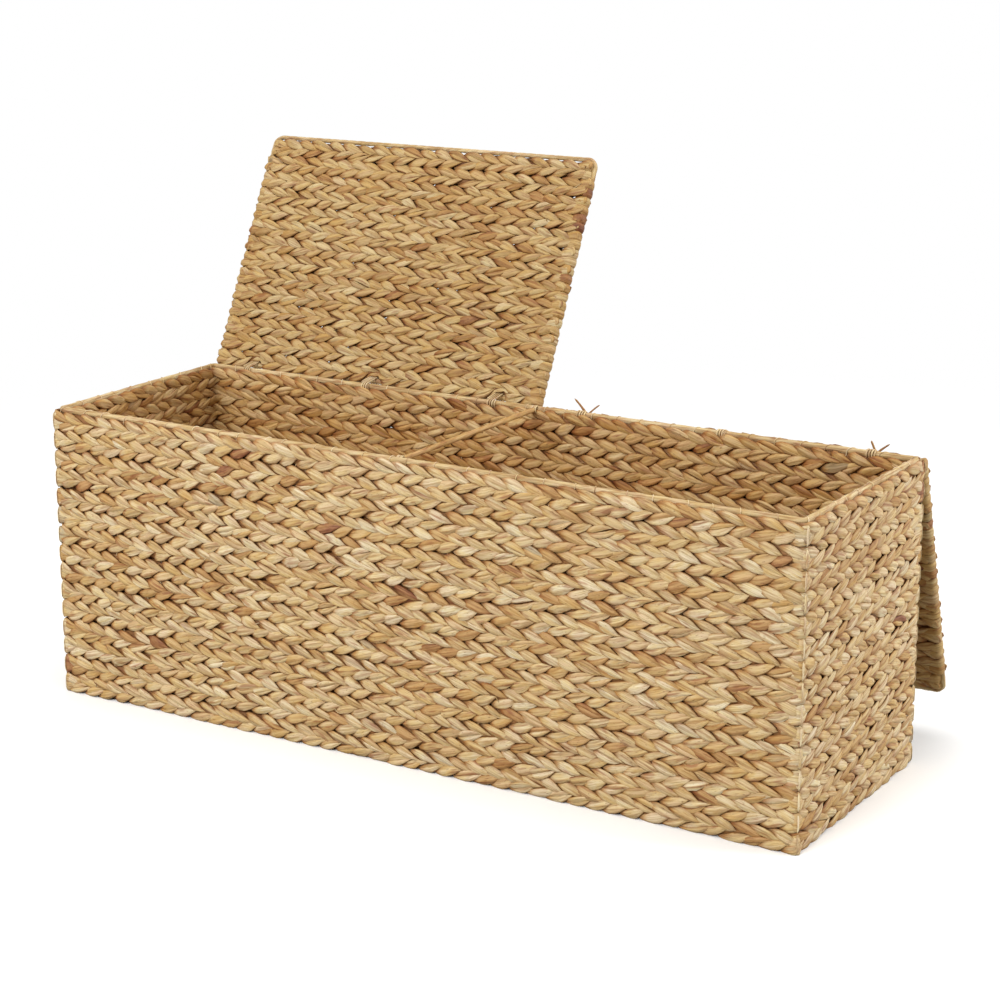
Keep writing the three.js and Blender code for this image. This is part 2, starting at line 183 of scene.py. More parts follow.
# Thread spun from the same fibre: smooth and paler than the braid, so that stitches stand out
stitchThread = hyacinthMaterial("paleStitchThread", dict(
    cordLook, fibreWidth=0.4, foldDepth=0.1, stalkColours=[(0.0, "#cdb78c"), (1.0, "#e9dcbd")]))

# Unbleached ends of cord: brown and dull
tieTailCord = hyacinthMaterial("hyacinthTieTails", dict(cordLook, stalkColours=[
    (0.0, "#8f6a44"), (0.4, "#b08a5c"), (1.0, "#cfae7c")]))


# Powder coated mild steel rod: dark and slightly glossy, seen only through gaps in the braid
steelLook = {
    "colours": [(0.3, "#3d3a36"), (0.7, "#57524b")],
    "speck": 1.1,             # mm, the grain of powder coating, drawn coarse enough to show
    "speckDepth": 0.05,       # mm
    "speckBump": 0.2,
    "roughness": 0.45,
}


def steelMaterial():
    material, tree = newMaterial("coatedSteelRod")
    place = addNode(tree, "ShaderNodeTexCoord").outputs["Object"]
    speck = addNode(tree, "ShaderNodeTexNoise", {
        "Scale": 1 / (steelLook["speck"] * mm), "Detail": 2.0}, {"Vector": place}).outputs["Fac"]
    bump = addNode(tree, "ShaderNodeBump", {
        "Strength": steelLook["speckBump"], "Distance": steelLook["speckDepth"] * mm},
        {"Height": speck}).outputs["Normal"]
    shader = addNode(tree, "ShaderNodeBsdfPrincipled", {"Roughness": steelLook["roughness"]},
                     {"Base Color": colourRamp(tree, speck, steelLook["colours"]), "Normal": bump})
    addNode(tree, "ShaderNodeOutputMaterial", {}, {"Surface": shader.outputs["BSDF"]})
    return material


coatedSteel = steelMaterial()
print("materials")


# Meshes

def buildMesh(name, parts, material, body, slotName, *replaced):
    # parts is a list of (points, faces, attributes); faces are rows of four point numbers
    points = np.concatenate([p for p, _, _ in parts])
    starts = np.cumsum([0] + [len(p) for p, _, _ in parts[:-1]])
    faces = np.concatenate([f + start for (_, f, _), start in zip(parts, starts)])
    mesh = bpy.data.meshes.new(name)
    mesh.vertices.add(len(points))
    mesh.vertices.foreach_set("co", points.astype(np.float32).ravel())
    mesh.loops.add(faces.size)
    mesh.loops.foreach_set("vertex_index", faces.astype(np.int32).ravel())
    mesh.polygons.add(len(faces))
    mesh.polygons.foreach_set("loop_start", np.arange(0, faces.size, 4, dtype=np.int32))
    mesh.polygons.foreach_set("loop_total", np.full(len(faces), 4, dtype=np.int32))
    for key, kind, field in (
            ("fibre", "FLOAT_VECTOR", "vector"), ("tint", "FLOAT", "value"), ("paintedLight", "FLOAT", "value")):
        values = np.concatenate([a[key] for _, _, a in parts]).astype(np.float32)
        mesh.attributes.new(key, kind, "POINT").data.foreach_set(field, values.ravel())
    mesh.update(calc_edges=True)
    mesh.validate()
    mesh.shade_smooth()
    mesh.materials.append(material)
    piece = bpy.data.objects.new(name, mesh)
    bpy.context.scene.collection.objects.link(piece)
    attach(piece, body)
    if replaced:
        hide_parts(*replaced)
    print(name, len(faces), "faces")
    return piece


def tubeFaces(rings, sides, closed):
    ring = np.arange(rings if closed else rings - 1)[:, None]
    side = np.arange(sides)[None, :]
    after, beside = (ring + 1) % rings, (side + 1) % sides
    corners = [ring * sides + side, ring * sides + beside, after * sides + beside, after * sides + side]
    return np.stack([np.broadcast_to(c, (len(ring), sides)) for c in corners], -1).reshape(-1, 4)


def unit(vectors):
    return vectors / np.maximum(np.linalg.norm(vectors, axis=-1, keepdims=True), 1e-12)


def runAlong(centres):
    return np.concatenate([[0], np.cumsum(np.linalg.norm(np.diff(centres, axis=0), axis=1))])


# What every stalk and cord has
strand = {
    "lumpLengths": (0.02, 0.08),    # m from one swelling to the next
    "endTaper": 0.05,               # how thick an open end is against the rest
    "patternSpan": 400,             # mm of the fibre pattern, in which each strand has its own place
}


def strandTube(centres, face, halfWidth, halfThick, sides, closed, tint, paintedLight, seed, lumps=0.06):
    # A flattened stalk along a line of centres; face is the way its broad side looks.
    # An open end closes to a point.
    rng = np.random.default_rng(seed)
    count = len(centres)
    if closed:
        along = unit(np.roll(centres, -1, 0) - np.roll(centres, 1, 0))
    else:
        along = unit(np.gradient(centres, axis=0))
    across = unit(np.cross(along, face))
    outward = unit(np.cross(across, along))
    angle = np.arange(sides) / sides * tau
    run = runAlong(centres)
    length = max(run[-1], 1e-9)
    turns = np.round(length / rng.uniform(*strand["lumpLengths"], sides)) * tau / length
    lump = 1 + lumps * np.sin(run[:, None] * turns[None, :] + rng.uniform(0, tau, sides)[None, :])
    halfWidth, halfThick = np.array(halfWidth), np.array(halfThick)
    if not closed:
        halfWidth[[0, -1]] *= strand["endTaper"]
        halfThick[[0, -1]] *= strand["endTaper"]
    wide = halfWidth[:, None] * np.cos(angle)[None, :] * lump
    thick = halfThick[:, None] * np.sin(angle)[None, :] * lump
    points = (centres[:, None, :] + wide[..., None] * across[:, None, :]
              + thick[..., None] * outward[:, None, :])
    spot = rng.uniform(0, strand["patternSpan"], 3)
    fibre = np.stack([
        wide / mm + spot[0], thick / mm + spot[1],
        np.broadcast_to(run[:, None] / mm + spot[2], wide.shape)], -1)
    return (points.reshape(-1, 3), tubeFaces(count, sides, closed), {
        "fibre": fibre.reshape(-1, 3), "tint": np.repeat(tint, sides),
        "paintedLight": paintedLight.ravel() if paintedLight.ndim == 2 else np.repeat(paintedLight, sides)})


def roundCord(centres, radius, sides, closed, tint, seed, lumps=0.03):
    # A round cord along any line, whose sides are carried along without twist
    along = unit(np.gradient(centres, axis=0))
    face = np.zeros_like(centres)
    side = np.array([0.3, 0.5, 0.8])    # any direction but the cord's own
    for i, way in enumerate(along):
        side = unit(side - way * (side @ way))
        face[i] = side
    ones = np.ones(len(centres))
    return strandTube(centres, face, radius * ones, radius * ones, sides, closed, tint * ones,
                      ones * 0.8, seed, lumps)


def wander(rng, count, share, spread):
    # Random values at count knots round a loop, blended between them
    knots = rng.normal(0, spread, max(count, 1))
    place = share * len(knots)
    low = np.floor(place).astype(int)
    ease = (place - low) ** 2 * (3 - 2 * (place - low))
    return knots[low % len(knots)] * (1 - ease) + knots[(low + 1) % len(knots)] * ease


def smooth(value):
    value = np.clip(value, 0, 1)
    return value * value * (3 - 2 * value)


# One course is a flat braid of three stalks. Of each stalk a face shows only the lobes that lie on
# top: long pointed ones in two rows, which come up at the course's edge from under the lobe before
# and dive under the other row at the middle, so that the rows meet in a chevron. The parts of the
# stalks that lie between the two faces are one flat band.
braid = {
    "pitch": 26.0,            # mm along the course from one lobe to the next
    "halfHeight": 13.17,      # mm from the course's middle to its edge
    "rowShift": 0.5,          # share of the pitch by which the upper row is ahead
    # nine places along a lobe, in mm
    "along": (-6, -2, 2.5, 7.5, 13, 18.5, 24, 30, 36),              # from where it shows first
    "aside": (10.3, 10.5, 10.1, 9.1, 7.5, 5.7, 3.8, 1.9, 0.3),      # from the course's middle
    "out": (2.6, 3.6, 4.7, 5.7, 6.2, 6.3, 6.2, 5.8, 4.8),           # out from the band's middle
    "halfWidth": (0.5, 3.0, 4.8, 6.2, 6.9, 6.7, 5.5, 3.4, 0.4),
    "halfThick": (0.4, 1.3, 1.7, 2.0, 2.1, 2.1, 1.9, 1.4, 0.4),
    "light": (0.0, 0.18, 0.5, 0.8, 1, 1, 1, 0.9, 0.65),             # painted light: how little it lies in the shade of a crease
    "around": (0, 35, 90, 145, 180, 270),        # degrees round a lobe, 90 on its face
    "flatness": 0.5,          # 1 for a round face, less for a flatter one
    "edgeLight": 0.35,        # light at a lobe's edges, as a share of that on its face
    "bandHalfThick": 4.5,     # mm
    "bandStep": 12,           # mm
    # painted shade: the band is coloured dark, so that the gaps between lobes look shaded
    "bandLight": 0.2,
    "bandTint": 0.2,
    "bandBend": (-3, -1.4, 0, 1.4, 3),           # mm, places round a corner of the band
    "splitShare": 0.3,        # share of lobes whose stalk has split in two lengthwise
    "splitWidth": 0.64,       # width of each half against a whole lobe
    "splitOffset": 0.66,      # how far each half lies aside, as a share of its half width
    "leanShare": 0.2,         # how far a lobe may lean over sideways
    "leanTurn": 0.12,         # how far it turns from one end to the other
    "ridgeSpread": 0.3,       # how far the fold along a lobe lies off its middle
    "ridgeLimit": 0.55,
}

# How much one lobe differs from the next: shares of each value, but mm for the bow
lobeSpread = {
    "step": 0.06, "along": 0.09, "bow": 0.8, "aside": 0.03, "out": 0.07, "halfWidth": 0.07,
    "halfThick": 0.08, "lean": 0.8, "lump": 0.06,
}

# Tints of lobes, from 0 red brown to 1 greyish
lobeTint = {
    "lowest": 0.19, "range": 0.62,
    "evenness": 2.1,          # higher brings more lobes near the middle of the range
    "runLength": 7,           # lobes in a run that is a little darker or paler
    "runSpread": 0.07,
    "stalkShare": 0.25,       # share of the tint that a row's lobes of one stalk have in common
    "oddShare": 0.055, "oddTints": (0, 0.08),        # red brown lobes
    "greyShare": 0.03, "greyTints": (0.93, 1),       # greyish lobes
}

# Bits of skin that have come loose from a stalk
shred = {
    "length": (9, 22),        # mm
    "turnSpread": 0.6,        # radians off the course's own direction
    "level": 6.8,             # mm out from the band's middle to its root
    "lift": 2.6,              # mm that the tip may stand out beyond that
    "aside": 8, "asideLimit": 11,    # mm from the course's middle to its root, and at most to its tip
    "halfWidth": (0.4, 1.1),  # mm
    "flatness": 0.25,
}


def lobeTints(rng, count):
    evenness = lobeTint["evenness"]
    tints = lobeTint["lowest"] + lobeTint["range"] * rng.beta(evenness, evenness, count)
    runLength = lobeTint["runLength"]
    runs = np.repeat(rng.normal(0, lobeTint["runSpread"], count // runLength + 1), runLength)[:count]
    chance = rng.random(count)
    tints = np.where(chance < lobeTint["oddShare"], rng.uniform(*lobeTint["oddTints"], count), tints + runs)
    return np.where(chance > 1 - lobeTint["greyShare"], rng.uniform(*lobeTint["greyTints"], count), tints)


def varied(rng, spread, count):
    # a factor near 1 for each lobe
    return 1 + rng.normal(0, spread, (count, 1)).clip(-2 * spread, 2 * spread)


def lobeLines(place, length, face, row, closed, rng, scale):
    # The middle line of each lobe, and its sideways and outward directions, width and thickness
    table = {key: np.array(braid[key], float)[None, :] for key in (
        "along", "aside", "out", "halfWidth", "halfThick")}
    count = round(length / (braid["pitch"] * mm))
    pitch = length / count
    lobes = np.arange(0 if closed else -1, count)
    # a split lobe is two narrower ones side by side
    split = rng.random(len(lobes)) < braid["splitShare"]
    half = np.concatenate([np.where(split, -1, 0), np.ones(split.sum())])[:, None]
    lobes = np.concatenate([lobes, lobes[split]])

    def spread(key, most=None):
        return varied(rng, lobeSpread[key] if most is None else most, len(lobes))

    ahead = braid["rowShift"] if row > 0 else 0
    step = lobes[:, None] + ahead + lobeSpread["step"] * (spread("step", 1) - 1)
    along = table["along"] * spread("along") * mm
    s = step * pitch + (along if face > 0 else pitch - along)
    if not closed:
        s = np.clip(s, 0, length)
    fraction = (table["along"] - table["along"].min()) / np.ptp(table["along"])
    bow = np.sin(math.pi * fraction) * (spread("bow") - 1) * mm
    v = row * scale * (table["aside"] * spread("aside") * mm + bow)
    w = face * (table["out"] * spread("out") * mm)
    halfWidth = table["halfWidth"] * spread("halfWidth") * np.where(half, braid["splitWidth"], 1) * scale * mm
    halfThick = table["halfThick"] * spread("halfThick") * mm
    # narrower where place draws the course together
    beside = place(s, w, v + mm)[0] - place(s, w, v - mm)[0]
    halfWidth = halfWidth * np.linalg.norm(beside, axis=-1) / (2 * mm)
    points, outward, sideways = place(s, w, v)
    along = unit(np.gradient(points, axis=1))
    lean = braid["leanShare"] * (spread("lean") - 1) + braid["leanTurn"] * row * (0.5 - fraction)
    across = unit(np.cross(along, face * outward + lean[..., None] * sideways))
    points = points + (braid["splitOffset"] * half * halfWidth)[..., None] * across
    return lobes, points, across, np.cross(across, along), halfWidth, halfThick


def lobeRow(place, length, face, row, closed, rng, scale):
    # place is as in braidCourse, face 1 outside and -1 inside, row 1 above the middle and -1 below
    lobes, points, across, out, halfWidth, halfThick = lobeLines(place, length, face, row, closed, rng, scale)
    angle = np.radians(braid["around"])
    lump = 1 + rng.normal(0, lobeSpread["lump"], (*points.shape[:2], len(angle)))
    # the ridge along a folded stalk lies to one side
    limit = braid["ridgeLimit"]
    ridge = (rng.normal(0, braid["ridgeSpread"], (len(lobes), 1, 1)).clip(-limit, limit)
             * (np.sin(angle).clip(0, 1) ** 2))
    wide = halfWidth[..., None] * (np.cos(angle) + ridge) * lump
    rounded = np.sign(np.sin(angle)) * np.abs(np.sin(angle)) ** braid["flatness"]
    thick = halfThick[..., None] * rounded * lump
    surface = (points[:, :, None, :] + wide[..., None] * across[:, :, None, :]
               + thick[..., None] * out[:, :, None, :])
    spot = rng.uniform(0, strand["patternSpan"], (len(lobes), 3))[:, None, None, :]
    run = np.broadcast_to(np.array(braid["along"], float)[None, :, None], wide.shape)
    fibre = np.stack([wide / mm, thick / mm, run], -1) + spot
    # the lobes of one row belong to three stalks in turn
    common = lobeTint["stalkShare"]
    tints = (1 - common) * lobeTints(rng, len(lobes)) + common * lobeTints(rng, 3)[lobes % 3]
    # painted shade on a lobe's sides and underside, and where it comes up from under the lobe before and
    # dives under the next
    facing = (braid["edgeLight"] + (1 - braid["edgeLight"]) * np.sin(angle)).clip(0, 1)
    light = np.array(braid["light"], float)[None, :, None] * facing
    sides, rings = len(angle), points.shape[1]
    starts = np.arange(len(lobes))[:, None, None] * rings * sides
    return (surface.reshape(-1, 3), (tubeFaces(rings, sides, False)[None] + starts).reshape(-1, 4), {
        "fibre": fibre.reshape(-1, 3), "tint": np.repeat(tints, rings * sides),
        "paintedLight": np.broadcast_to(light, wide.shape).ravel()})


def braidBand(place, length, closed, rng, scale, corners, spread):
    count = round(length / (braid["bandStep"] * mm))
    s = np.arange(count) * length / count if closed else np.linspace(0, length, count)
    if len(corners):
        bend = np.array(braid["bandBend"]) * mm
        s = np.unique(np.concatenate([s, (np.array(corners)[:, None] + bend).ravel()]))
    ones = np.ones(len(s))
    reach = braid["halfHeight"] * scale * mm
    upper, outward, _ = place(s, 0 * s, reach * ones)
    lower = place(s, 0 * s, -reach * ones)[0]
    halfWidth = np.linalg.norm(upper - lower, axis=1) / 2 + spread * mm
    # the band's dark colour is painted shade, seen in the gaps between lobes
    return strandTube((upper + lower) / 2, outward, halfWidth, braid["bandHalfThick"] * mm * ones, 8, closed,
                      braid["bandTint"] * ones, braid["bandLight"] * ones, rng.integers(1 << 30), 0)


def looseShred(place, length, face, rng):
    t = np.linspace(0, 1, 6)
    reach = rng.uniform(*shred["length"]) * mm
    turn = rng.normal(0, shred["turnSpread"])
    s = rng.uniform(reach, length - reach) + face * t * reach * math.cos(turn)
    w = face * (shred["level"] + shred["lift"] * rng.uniform(0.2, 1) * t ** 1.5) * mm
    v = rng.uniform(-shred["aside"], shred["aside"]) * mm + t * reach * math.sin(turn)
    limit = shred["asideLimit"] * mm
    points, outward, _ = place(s, w, np.clip(v, -limit, limit))
    halfWidth = rng.uniform(*shred["halfWidth"]) * (1 - 0.6 * t) * mm
    return strandTube(points, face * outward, halfWidth, shred["flatness"] * halfWidth, 4, False,
                      np.full(6, rng.uniform(0.05, 0.9)), np.ones(6), rng.integers(1 << 30))


def braidCourse(place, length, closed, seed, faces=(1, -1), scale=1.0, corners=(), spread=0.2, shreds=0):
    # place(s, w, v) gives the points at s along, w out and v across the course, with the outward
    # and sideways directions there; spread is in mm, what the band is wider than the course
    parts = []
    for face in faces:
        rng = np.random.default_rng([seed, 1 + face])
        parts += [lobeRow(place, length, face, row, closed, rng, scale) for row in (1, -1)]
        parts += [looseShred(place, length, face, rng) for _ in range(shreds)]
    if 1 in faces:
        parts.append(braidBand(place, length, closed, rng, scale, corners, spread))
    return parts


# The trunk's walls: fifteen courses that run right round it
trunk = {
    "courses": 15,
    "wallThickness": 18,     # mm
    "cornerRadius": 3.5,     # mm, the same inside and out because the braid is pulled over the post
    "waviness": 0.5,         # mm
    # waves in one round of the trunk, their share of the waviness, and their shift in radians a metre
    "waves": ((4, 1.0, 110), (11, 0.7, 310)),
    "footing": 0.3,          # mm, the least height off the floor
    "shreds": 18,            # loose bits of skin to a course, on each face
    # the courses in each piece of mesh
    "bands": (("lowerWallBraid", 0, 5), ("middleWallBraid", 5, 10), ("upperWallBraid", 10, 15)),
}
wallNodes = ("front_wall", "back_wall", "left_end_wall", "right_end_wall")
wallLow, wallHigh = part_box("front_wall")
endLow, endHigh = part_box("right_end_wall")
middleX = endHigh.x - trunk["wallThickness"] / 2 * mm
middleY = -wallLow.y - trunk["wallThickness"] / 2 * mm
wallTop = wallHigh.z
coursePitch = wallTop / trunk["courses"]


def ringLengths(radius):
    # Straights and corners in turn: front, right end, back, left end
    return np.array([2 * (middleX - radius), math.pi / 2 * radius, 2 * (middleY - radius),
                     math.pi / 2 * radius] * 2)


def ringPlace(level, radius, waviness):
    lengths = ringLengths(radius)
    finish = np.cumsum(lengths)
    begin = finish - lengths

    def place(s, w, v):
        s = np.mod(s, finish[-1])
        stretch = np.searchsorted(finish, s, side="right").clip(0, 7)
        share = (s - begin[stretch]) / lengths[stretch]
        quarter, bent = stretch // 2, stretch % 2 == 1
        turn = quarter * math.pi / 2 + np.where(bent, share * math.pi / 2, 0)
        outX, outY = np.sin(turn), -np.cos(turn)
        halfX, halfY = middleX + w - radius, middleY + w - radius
        toX = np.choose(quarter, [halfX, halfX, -halfX, -halfX])
        toY = np.choose(quarter, [-halfY, halfY, halfY, -halfY])
        fromX = np.choose(quarter, [-halfX, halfX, halfX, -halfX])
        fromY = np.choose(quarter, [-halfY, -halfY, halfY, halfY])
        x = np.where(bent, toX, fromX + (toX - fromX) * share) + radius * outX
        y = np.where(bent, toY, fromY + (toY - fromY) * share) + radius * outY
        angleRound = s / finish[-1] * tau
        wave = waviness * sum(
            share * np.sin(count * angleRound + level * shift) for count, share, shift in trunk["waves"])
        points = np.stack([x, y, level + v + wave], -1)
        return points, np.stack([outX, outY, 0 * outX], -1), np.broadcast_to([0.0, 0.0, 1.0], points.shape)

    return place


# The broad stalk of each course that lies folded over a corner post, with a pointed tip on each
# wall, and the pale line down its middle: a painted highlight along the corner's edge, where the braid is
# pulled over the post
fold = {
    "radius": 0.5,           # mm, to the middle of the wall
    # places along it, from tip to tip
    "shares": (-1, -0.85, -0.65, -0.45, -0.3, -0.18, -0.09, 0, 0.09, 0.18, 0.3, 0.45, 0.65, 0.85, 1),
    "reach": 30,             # mm along each wall
    "reachVaries": (0.75, 1.1),
    "out": 6.5,              # mm out from the wall's middle at the corner
    "tipDrop": 4.0,          # mm less than that at the tips
    "tipAside": 5,           # mm that a tip may lie above or below
    "halfWidth": 13,         # mm
    "widthVaries": (0.9, 1.02),
    "halfThick": 1.8,        # mm
    "ridgeOut": 7.8,         # mm
    "ridgeDrop": 1.2,        # mm less than that at its ends
    "ridgeShare": 0.46,      # half its length, as a share of a course
    "ridgeHalfWidth": (1.1, 1.5),    # mm
    "ridgeHalfThick": 0.6,   # mm
}


def eitherSide(t, rng, low, high):
    # one random value for each wall that a fold lies on
    return np.where(t < 0, rng.uniform(low, high), rng.uniform(low, high))


def cornerFold(level, corner, radius, seed):
    rng = np.random.default_rng(seed)
    t = np.array(fold["shares"])
    away = np.abs(t)
    reach = fold["reach"] * mm * eitherSide(t, rng, *fold["reachVaries"])
    out = (fold["out"] - fold["tipDrop"] * away ** 1.6) * mm
    aside = eitherSide(t, rng, -fold["tipAside"], fold["tipAside"]) * away ** 1.3 * mm
    points, outward, _ = ringPlace(level, radius, trunk["waviness"] * mm)(corner + t * reach, out, aside)
    halfWidth = fold["halfWidth"] * (1.03 - away ** 1.15) * rng.uniform(*fold["widthVaries"]) * mm
    halfThick = fold["halfThick"] * (1 - 0.5 * away) * mm
    tint = np.full(len(t), lobeTints(rng, 1)[0])
    # painted shade towards the tips, where the fold goes under the braid
    return strandTube(points, outward, halfWidth, halfThick, 10, False, tint, np.clip(1.2 - 0.8 * away, 0, 1),
                      rng.integers(1 << 30))


def cornerHighlight(level, corner, radius, seed):
    rng = np.random.default_rng(seed)
    t = np.linspace(-1, 1, 7)
    out = (fold["ridgeOut"] - fold["ridgeDrop"] * t ** 4) * mm
    points, outward, _ = ringPlace(level, radius, 0)(
        corner + rng.normal(0, 0.15, 7) * mm, out, t * coursePitch * fold["ridgeShare"])
    halfWidth = rng.uniform(*fold["ridgeHalfWidth"], 7) * mm
    halfThick = np.full(7, fold["ridgeHalfThick"] * mm)
    # pale tint at full painted light: the painted highlight along the corner
    tint = rng.uniform(0.6, 1.0, 7)
    return strandTube(points, outward, halfWidth, halfThick, 6, False, tint, np.ones(7), seed)


def makeWalls():
    radius = trunk["cornerRadius"] * mm
    lengths = ringLengths(radius)
    corners = (np.cumsum(lengths) - lengths / 2)[1::2]
    for name, first, last in trunk["bands"]:
        for faceName, face, material in (("Outside", 1, wallWeave), ("Inside", -1, insideShadedWeave)):
            parts = []
            for course in range(first, last):
                place = ringPlace((course + 0.5) * coursePitch, radius, trunk["waviness"] * mm)
                parts += braidCourse(place, lengths.sum(), True, 100 + course, (face,), corners=corners,
                                     shreds=trunk["shreds"])
            for points, _, _ in parts:
                # the trunk's weight presses its lowest course flat
                points[:, 2] = np.maximum(points[:, 2], trunk["footing"] * mm)
            buildMesh(name + faceName, parts, material, "box", "wall_weave", *wallNodes)
    radius = fold["radius"] * mm
    lengths = ringLengths(radius)
    corners = (np.cumsum(lengths) - lengths / 2)[1::2]
    folds, highlightRidges = [], []
    for course in range(trunk["courses"]):
        level = (course + 0.5) * coursePitch
        for k, corner in enumerate(corners):
            folds.append(cornerFold(level, corner, radius, 900 + course * 4 + k))
            highlightRidges.append(cornerHighlight(level, corner, radius, 990 + course * 4 + k))
    buildMesh("cornerFolds", folds, wallWeave, "box", "wall_weave", *wallNodes)
    buildMesh("cornerHighlightRidges", highlightRidges, stitchThread, "box", "wall_weave")


makeWalls()


# Rim and crossbar: a twisted cord over the steel rod, sewn down along the rim with thread
rim = {
    "cornerRadius": 5,       # mm to the cord's middle
    "cordRadius": 4.2,
    "twistPitch": 64,        # mm for one turn of the two-ply cord
    "twistDepth": 0.045,     # share of the radius
    "barRadius": 3.4,        # mm, the crossbar's cord
    "step": 3,               # mm from one ring of the mesh to the next
    "stitchSpacing": 37,     # mm
    "threadRadius": 0.55,
    "stitchDrop": 9,         # mm that a stitch goes down into the weave
    "stitchSplay": (0.8, 0.3),    # mm that its legs stand out from the cord, at the foot and halfway
    "stitchLean": (1, 2.5),  # mm
    "lashingTurns": 5,       # turns of thin cord that tie each end of the crossbar to the rim
    "lashingWidth": 9,       # mm
    "lashingRadius": 0.8,    # mm
}
rimLow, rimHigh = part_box("front_rim_rod")
rimLevel = (rimLow.z + rimHigh.z) / 2
flatPlace = ringPlace(rimLevel, rim["cornerRadius"] * mm, 0)


def pliedTube(centres, face, radius, depth, plies, pitch, sides, closed, tint, seed):
    # A cord whose plies show as slanting bulges
    part = strandTube(centres, face, radius, radius, sides, closed, tint, np.ones(len(centres)), seed, 0.02)
    points, faces, attributes = part
    run = runAlong(centres)
    turns = np.round(run[-1] / pitch) if closed else run[-1] / pitch
    angle = np.arange(sides) / sides * tau
    swell = 1 + depth * np.cos(plies * (angle[None, :] - tau * turns * run[:, None] / run[-1]))
    middle = np.repeat(centres, sides, 0)
    points = middle + (points - middle) * swell.reshape(-1, 1)
    # painted shade in the grooves between the plies, painted light on their bulges
    attributes["paintedLight"] = np.clip(0.8 + 0.2 * (swell.ravel() - 1) / depth, 0.2, 1)
    return points, faces, attributes


def makeRim():
    rng = np.random.default_rng(31)
    length = ringLengths(rim["cornerRadius"] * mm).sum()
    count = round(length / (rim["step"] * mm))
    s = np.arange(count) / count * length
    points, outward, _ = flatPlace(s, np.zeros(len(s)), np.zeros(len(s)))
    radius = rim["cordRadius"] * mm * (1 + wander(rng, 90, s / length, 0.03))
    cord = pliedTube(points, outward, radius, rim["twistDepth"], 2, rim["twistPitch"] * mm, 12, True,
                     0.5 + wander(rng, 60, s / length, 0.22), 5)
    buildMesh("rimTwistedCord", [cord], rimCord, "box", "rim_cord",
              "front_rim_rod", "back_rim_rod", "left_end_rim_rod", "right_end_rim_rod")
    stitches = []
    count = round(length / (rim["stitchSpacing"] * mm))
    over = (rim["cordRadius"] + rim["threadRadius"] * 0.6) * mm
    drop = rim["stitchDrop"] * mm
    for k in range(count):
        middle = (k + rng.uniform(-0.2, 0.2)) * length / count
        turn = np.linspace(0, math.pi, 9)
        leg = over + np.array(rim["stitchSplay"]) * mm
        w = np.concatenate([leg, over * np.cos(turn), -leg[::-1]])
        v = np.concatenate([[-drop, -drop / 2], over * np.sin(turn), [-drop / 2, -drop]])
        lean = np.linspace(-1, 1, len(w)) * rng.uniform(*rim["stitchLean"]) * mm
        points, _, _ = flatPlace(middle + lean, w, v)
        stitches.append(roundCord(points, rim["threadRadius"] * mm, 6, False, rng.uniform(0.2, 1), k))
    buildMesh("rimStitches", stitches, stitchThread, "box", "rim_cord")
    low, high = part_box("centre_crossbar")
    y = np.arange(low.y - 2 * mm, high.y + 2 * mm, rim["step"] * mm)
    centres = np.stack([np.full(len(y), (low.x + high.x) / 2), y, np.full(len(y), (low.z + high.z) / 2)], -1)
    face = np.broadcast_to([0.0, 0.0, 1.0], centres.shape)
    bar = pliedTube(centres, face, np.full(len(y), rim["barRadius"] * mm), rim["twistDepth"], 2,
                    rim["twistPitch"] * mm, 12, False,
                    0.15 + wander(rng, 9, (y - y[0]) / (y[-1] - y[0]), 0.1), 8)
    buildMesh("crossbarCord", [bar], barCord, "box", "rim_cord", "centre_crossbar")
    lashings = []
    turns, across = rim["lashingTurns"], (rim["cordRadius"] + 0.7) * mm
    for end in (low.y, high.y):
        t = np.linspace(0, turns, 14 * turns + 1)
        points = np.stack([
            centres[0, 0] + (t / turns - 0.5) * rim["lashingWidth"] * mm, end + across * np.cos(tau * t),
            rimLevel + across * np.sin(tau * t)], -1)
        lashings.append(roundCord(points, rim["lashingRadius"] * mm, 6, False, 0.4, 3))
    buildMesh("crossbarLashings", lashings, stitchThread, "box", "rim_cord")


makeRim()


# Base: courses of braid laid side by side along the trunk
base = {
    "courses": 13,
    "flatness": 0.85,        # the base is braided flatter than the walls
}
baseLow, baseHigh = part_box("base_mat")


def makeBase():
    pitch = (baseHigh.y - baseLow.y) / base["courses"]
    level = (baseHigh.z + baseLow.z) / 2
    length = baseHigh.x - baseLow.x
    parts = {1: [], -1: []}
    for course in range(base["courses"]):
        middle = baseLow.y + (course + 0.5) * pitch

        def place(s, w, v, middle=middle):
            points = np.stack([baseLow.x + s, middle + v, level - w * base["flatness"]], -1)
            return (points, np.broadcast_to([0.0, 0.0, -1.0], points.shape),
                    np.broadcast_to([0.0, 1.0, 0.0], points.shape))

        for face in parts:
            parts[face] += braidCourse(place, length, False, 300 + course, (face,),
                                       pitch / 2 / (braid["halfHeight"] * mm))
    buildMesh("baseBraidUnderside", parts[1], baseWeave, "box", "base_weave", "base_mat")
    buildMesh("baseBraidTop", parts[-1], baseWeave, "box", "base_weave", "base_mat")


makeBase()


# Lids: courses of braid from side to side on a steel frame, whose ends turn round the side rods.
# Lid coordinates are x from its middle, f from its rear rod towards its free edge, n up off its top.
lid = {
    "courses": 14,
    "rearInset": 6,          # mm that the weave reaches behind the rear rod
    "endInset": 6,           # mm from the lid's side to the ends of the courses
    "cornerRound": 16,
    "pinchHalfWidth": 20,    # mm either side of a tie where the first course is drawn aside
    "pinchDepth": 0.5,       # share of the first course's width that is drawn aside
    "flatness": 0.95,        # how thick the weave is against the walls'
    "rearThinning": 0.25,    # how much thinner behind the rear rod, to lie against the wall when folded over
    "tieThinning": 0.45,     # and at the ties
    "slit": 6,               # mm between the bands of two courses, where light comes through
    "shreds": 4,
    "rearCordRadius": 3.9,
    "edgeCordRadius": 3.2,
    "edgeGap": 1.7,          # mm between the free edge's cord and the last course
    "edgeTwistPitch": 30,
    "edgeReturn": (26, 4),   # mm that the edge cord runs back along a side, and where it ends on the bend
    "twistDepth": 0.07,
}

